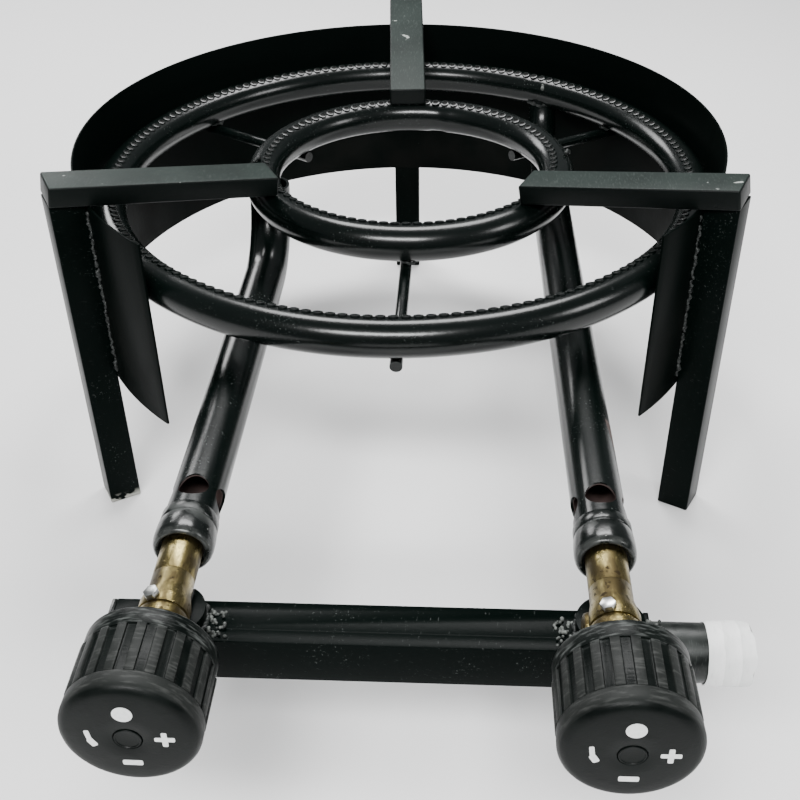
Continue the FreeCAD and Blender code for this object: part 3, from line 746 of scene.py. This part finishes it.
def knob(side, middle):
    """A spun cup with a hub, then every second strip of its grip drawn out as a rib."""
    x, z = middle
    skin = knob_plastic("knob_plastic_" + side, (x * MM, 0, z * MM))
    back, front = KNOB_BACK, KNOB_FRONT
    shell = [(HUB_BACK, 0.0), (HUB_BACK, HUB), (front + 7, HUB), (front + 7, CUP), (back, CUP), (back, 27.0),
             (back - 0.9, COLLAR), (RIBS_BACK, COLLAR), (RIBS_BACK, CORE), (RIBS_FRONT, CORE),
             (RIBS_FRONT, 28.3)]
    edge = front + 1.0
    for degrees in range(0, 91, 15):
        bent = math.radians(degrees)
        drop = FACE_BEND * (1 - math.cos(bent))
        shell.append((edge + FACE_BEND * (1 - math.sin(bent)), CREST - 0.1 - drop))
    shell += [(front + 0.85, 22.6), (front + 0.55, 19.2), (front + 0.35, 12.0), (front + 0.3, 5.9),
              (front + 1.2, 5.7), (front + 1.2, 0.0)]
    piece = turned(shell, middle, RIBS * STEPS)
    only(piece)
    edit()

    def on_rib(face):
        spot = face.calc_center_median()
        out = Vector((spot.x - x * MM, spot.z - z * MM))
        between = RIBS_FRONT * MM < spot.y < RIBS_BACK * MM
        if not between or out.length < (CUP + CORE) / 2 * MM or abs(face.normal.y) > 0.5:
            return False
        step = int(math.atan2(out.y, out.x) / (2 * math.pi) * RIBS * STEPS + RIBS * STEPS) % STEPS
        return step < STEPS / 2

    pick(on_rib)
    bpy.ops.mesh.extrude_region_shrink_fatten(TRANSFORM_OT_shrink_fatten={"value": (CREST - CORE) * MM})
    leave()
    settle(piece)
    rounded(piece, 0.35 * MM, 2, 40)
    finish(piece, "knob_" + side + "_ribbed", side + "_knob", skin, ["knob_" + side])
    return skin


def knob_disc(side, middle, skin):
    """The small plug in the knob's face, dished inside a thin raised rim."""
    front = KNOB_FRONT
    outline = [(front + 1.15, 0.0), (front + 1.15, DISC), (front + 0.25, DISC), (front + 0.05, 5.25),
               (front + 0.05, 4.95), (front + 0.35, 4.7), (front + 0.5, 2.4), (front + 0.55, 0.0)]
    disc = turned(outline, middle, 48)
    finish(disc, "knob_cap_" + side + "_dished", side + "_knob", skin, ["knob_cap_" + side])


# The marks: how far they stand from the knob's middle, how deep they start and how thick they are
MARK_OUT, MARK_START, MARK_THICK = 14.5, 0.60, 0.42
DOT = 4.0


def strip(x, z, length, width, lean, proud=0.0):
    """One printed bar, with rounded ends; proud lifts it over a bar that it crosses."""
    bpy.ops.mesh.primitive_plane_add(size=1, location=(x * MM, (KNOB_FRONT + MARK_START) * MM, z * MM),
                                     rotation=(math.pi / 2, 0, 0))
    bar = bpy.context.object
    bar.scale = (length * MM, width * MM, 1)
    bpy.ops.object.transform_apply(location=False, rotation=False, scale=True)
    edit()
    bpy.ops.mesh.select_mode(type="VERT")
    bpy.ops.mesh.select_all(action="SELECT")
    bpy.ops.mesh.bevel(offset=width * 0.25 * MM, segments=3, affect="VERTICES")
    bpy.ops.mesh.select_all(action="SELECT")
    bpy.ops.mesh.extrude_region_move(TRANSFORM_OT_translate={"value": (0, -(MARK_THICK + proud) * MM, 0)})
    leave()
    bar.rotation_euler = (math.pi / 2, lean, 0)
    bpy.ops.object.transform_apply(location=True, rotation=True, scale=True)
    return heal()


def knob_marks(side, middle):
    """Off dot, plus, minus and a tick, printed round the knob's middle."""
    x, z = middle
    bpy.ops.mesh.primitive_circle_add(vertices=40, radius=DOT * MM, fill_type="NGON",
                                      location=(x * MM, (KNOB_FRONT + MARK_START) * MM, (z + MARK_OUT) * MM),
                                      rotation=(math.pi / 2, 0, 0))
    dot = bpy.context.object
    edit()
    bpy.ops.mesh.select_all(action="SELECT")
    bpy.ops.mesh.extrude_region_move(TRANSFORM_OT_translate={"value": (0, -MARK_THICK * MM, 0)})
    leave()
    bpy.ops.object.transform_apply(location=True, rotation=True, scale=True)
    heal()
    marks = {"dot": [dot],
             "plus": [strip(x + MARK_OUT, z + 0.2, 8.0, 2.2, 0),
                      strip(x + MARK_OUT, z + 0.2, 8.0, 2.2, math.pi / 2, 0.02)],
             "minus": [strip(x, z - MARK_OUT, 8.0, 2.8, 0)],
             "tick": [strip(x - 15.2, z + 0.6, 7.5, 2.0, math.radians(82)),
                      strip(x - 14.2, z - 2.6, 4.4, 2.8, math.radians(60), 0.02)]}
    for name, bars in marks.items():
        finish(join(bars), "mark_" + name + "_" + side, side + "_knob", MARK)


for side, middle in VALVES.items():
    skin = knob(side, middle)
    knob_disc(side, middle, skin)
    knob_marks(side, middle)

# Thread tape on the pipe's end

TAPE_RADIUS, TAPE_TURN, TAPE_RINGS = 13.45, 3.1, 24


def thread_tape():
    """Turns of film that overlap like steps, loose and wavy at the open end."""
    low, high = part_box("sealing_tape")
    middle = (low + high) / 2
    length = high.x - low.x
    bpy.ops.mesh.primitive_cylinder_add(vertices=72, radius=TAPE_RADIUS * MM, depth=length, location=middle,
                                        end_fill_type="NOTHING", rotation=(0, math.pi / 2, 0))
    piece = bpy.context.object
    settle(piece)
    edit()
    for i in range(1, TAPE_RINGS):
        bpy.ops.mesh.select_all(action="SELECT")
        bpy.ops.mesh.bisect(plane_co=(low.x + length * i / TAPE_RINGS, 0, 0), plane_no=(1, 0, 0))
    draw = random.Random(5)
    form = bmesh.from_edit_mesh(piece.data)
    waves = [(draw.uniform(0, 6.28), draw.randint(2, 7), draw.uniform(0.05, 0.16)) for _ in range(6)]
    for v in form.verts:
        off = Vector((0, v.co.y - middle.y, v.co.z - middle.z))
        angle = math.atan2(off.z, off.y)
        turns = ((v.co.x - low.x) / (TAPE_TURN * MM) + angle / (2 * math.pi)) % 1.0
        swell = 0.45 + 0.42 * turns + sum(size * math.sin(count * angle + start + v.co.x * 260)
                                          for start, count, size in waves)
        v.co += off.normalized() * swell * MM
        if v.co.x > high.x - 1e-6:
            v.co.x += 0.6 * MM * math.sin(3 * angle + 1.0) + 0.35 * MM * math.sin(8 * angle)
            v.co -= off.normalized() * 0.5 * MM
    bmesh.update_edit_mesh(piece.data)
    leave()
    modify(piece, "SOLIDIFY", thickness=0.35 * MM, offset=-1)
    finish(piece, "sealing_tape_wound", "stand", TAPE, ["sealing_tape"], math.radians(60))


thread_tape()

# Welds: rows of drops melted together; pitch and grain are shares of a drop's size

DROP_PITCH, DROP_GRAIN = 0.62, 0.55 * 0.33


def weld(name, lines, size, seed, paint=WELD, spread=0.25):
    """Drops of weld metal along each line of points, melted into one rough seam."""
    draw = random.Random(seed)
    drops = []
    bpy.ops.mesh.primitive_ico_sphere_add(subdivisions=2, radius=1.0)
    pattern = bpy.context.object
    for line in lines:
        for start, end in zip(line, line[1:]):
            start, end = Vector(start) * MM, Vector(end) * MM
            count = max(1, round((end - start).length / (size * DROP_PITCH * MM)))
            for i in range(count):
                spot = start.lerp(end, (i + draw.uniform(0.2, 0.8)) / count)
                spot += Vector([draw.uniform(-spread, spread) * size * MM for _ in range(3)])
                one = pattern.copy()
                one.data = pattern.data.copy()
                bpy.context.collection.objects.link(one)
                one.location = spot
                wide = size * MM * draw.uniform(0.42, 0.62)
                one.scale = (wide, wide * draw.uniform(0.8, 1.15), wide * draw.uniform(0.8, 1.15))
                one.rotation_euler = (draw.uniform(0, 3), draw.uniform(0, 3), draw.uniform(0, 3))
                drops.append(one)
    bpy.data.objects.remove(pattern)
    piece = join(drops)
    bpy.ops.object.transform_apply(location=True, rotation=True, scale=True)
    modify(piece, "REMESH", mode="VOXEL", voxel_size=size * MM * DROP_GRAIN)
    modify(piece, "SMOOTH", factor=0.5, iterations=2)
    return finish(piece, name, "stand", paint, angle=math.radians(80))


def around(middle, radius, count=30):
    """Points on a level circle, the first again at its end, in millimetres."""
    x, y, z = middle
    angles = [math.radians(360 * i / count) for i in range(count + 1)]
    return [(x + radius * math.cos(angle), y + radius * math.sin(angle), z) for angle in angles]


def beside(azimuth, out, off, up):
    """A point so far out from the stand's middle, and so far off to the side."""
    angle = math.radians(azimuth)
    return (out * math.cos(angle) - off * math.sin(angle),
            STAND_ALONG + out * math.sin(angle) + off * math.cos(angle), up)


LEGS = {"back": 91.3, "left": 210.0, "right": 331.5}
LEG_EDGE = math.degrees(math.asin(10.4 / SKIRT_OUT))
SEAM_OUT, SEAM_HEIGHTS = SKIRT_OUT + 0.3, (102, 140, 178, 210)
for side, azimuth in LEGS.items():
    lines = [[beside(azimuth + lean, SEAM_OUT, 0, up) for up in SEAM_HEIGHTS]
             for lean in (-LEG_EDGE, LEG_EDGE)]
    weld("leg_seam_" + side, lines, size=2.6, seed=11 + len(side))

MANIFOLD_TOP, SOCKET_ALONG, SOCKET_EDGE = 126.4, -243.1, 15.3
SPATTER_TOP, SPATTER_ALONG = 125.9, -245
SPATTER = {"left": [19], "right": [18, -19]}
for side, (x, z) in VALVES.items():
    seam = around((x, SOCKET_ALONG, MANIFOLD_TOP), SOCKET_EDGE)
    weld("socket_weld_" + side, [seam], size=2.6, seed=31 + len(side))
    lines = [[(x + off - 5, SPATTER_ALONG + y, SPATTER_TOP), (x + off + 5, SPATTER_ALONG + y, SPATTER_TOP)]
             for off in SPATTER[side] for y in (-6, -3, 0, 3, 6)]
    weld("socket_spatter_" + side, lines, size=1.7, seed=41 + len(side), paint=BARE, spread=0.9)

TIES = {"front": 272.3, "back_left": 141.0, "back_right": 38.0}
# Each end of a tie: its ring's middle across, how far out and how high the weld sits, and its radius
TIE_ENDS = [(INNER_ACROSS, 97, 174.5, 4.0), (OUTER_ACROSS, 184, 169.5, 4.2)]
for side, heading in TIES.items():
    angle = math.radians(heading)
    lines = [around((across + out * math.cos(angle), STAND_ALONG + out * math.sin(angle), up), radius, 9)
             for across, out, up, radius in TIE_ENDS]
    weld("tie_weld_" + side, lines, size=2.4, seed=51 + len(side))

REST_SIDE = 9.9
ARM_BEADS = [[(-93, 84, 196), (-88, 90, 197)], [(108, 101, 196), (111, 107, 196)],
             [beside(LEGS["left"], 212, -REST_SIDE, 218), beside(LEGS["left"], 203, -REST_SIDE, 217)],
             [beside(LEGS["right"], 197, REST_SIDE, 219), beside(LEGS["right"], 209, REST_SIDE, 220)]]
RISER_BEADS = [[(101, 243.4, 188), (100, 241.8, 183)], [(100, 242.2, 177), (100.5, 242, 174)],
               [(103, 242.4, 157), (103, 242.4, 153)]]
RISER_TOPS = {"left": (-82, 74.93, 178.6), "right": (101.5, 252.6, 171.5)}
RISER_EDGE = 10.6
weld("arm_beads", ARM_BEADS, size=2.4, seed=61, spread=0.4)
weld("riser_beads", RISER_BEADS, size=2.6, seed=62, paint=BARE, spread=0.3)
for seed, (side, top) in enumerate(RISER_TOPS.items(), 71):
    weld("riser_weld_" + side, [around(top, RISER_EDGE)], size=2.8, seed=seed)
